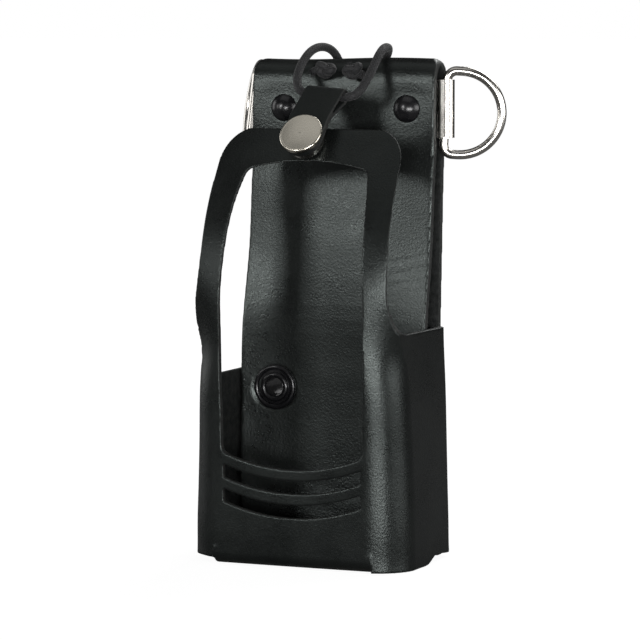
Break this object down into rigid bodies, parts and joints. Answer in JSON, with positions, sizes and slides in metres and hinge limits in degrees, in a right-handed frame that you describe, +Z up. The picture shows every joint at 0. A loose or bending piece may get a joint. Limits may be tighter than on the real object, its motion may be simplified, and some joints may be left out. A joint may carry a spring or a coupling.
{
  "type": "radio holder",
  "caption": "Moulded leather belt holder for a portable two-way radio, with an open front frame, elastic cord and snap tab, and D-rings.",
  "frame": {"origin": "on the surface that the base rests on, on the case's middle line, under the front of the back strap", "axes": "+Z up, -Y out of the open front, +X to the viewer's right"},
  "size_m": [0.1019, 0.0688, 0.1762],
  "materials": {
    "strap_leather": "smooth, semi-gloss",
    "wrap_leather": "moulded, satin",
    "tab_leather": "matte",
    "nickel": "polished nickel",
    "black_metal": "gloss black",
    "elastic": "braided, matte"
  },
  "bodies": {
    "case": {"back_strap": "strap_leather", "front_wrap": "wrap_leather", "snap_stud": "nickel", "snap_post": "nickel", "elastic_cord": "elastic", "d_ring_clip_left": "nickel", "rivet_cap_left": "black_metal", "rivet_post_left": "black_metal", "eyelet_left": "black_metal", "eyelet_washer_left": "black_metal", "cord_knot_left": "elastic", "d_ring_clip_right": "nickel", "rivet_cap_right": "black_metal", "rivet_post_right": "black_metal", "eyelet_right": "black_metal", "eyelet_washer_right": "black_metal", "cord_knot_right": "elastic"},
    "tab": {"closure_tab": "tab_leather", "snap_cap": "nickel", "snap_socket": "nickel"},
    "ring_left": {"d_ring_left": "nickel"},
    "ring_right": {"d_ring_right": "nickel"}
  },
  "joints": [
    {"name": "tab_swing", "type": "hinge", "parent": "case", "child": "tab", "pos_m": [0.00043, 0.00427, 0.15838], "axis": [0.9954, -0.055, -0.0785], "range_deg": [-120, 0]},
    {"name": "d_ring_left_swing", "type": "hinge", "parent": "case", "child": "ring_left", "pos_m": [-0.03415, 0.0246, 0.15414], "axis": [0.1805, 0, 0.9836], "range_deg": [-3, 118]},
    {"name": "d_ring_right_swing", "type": "hinge", "parent": "case", "child": "ring_right", "pos_m": [0.0362, 0.0246, 0.1526], "axis": [0.0593, 0, 0.9982], "range_deg": [-98, 54]}
  ]
}
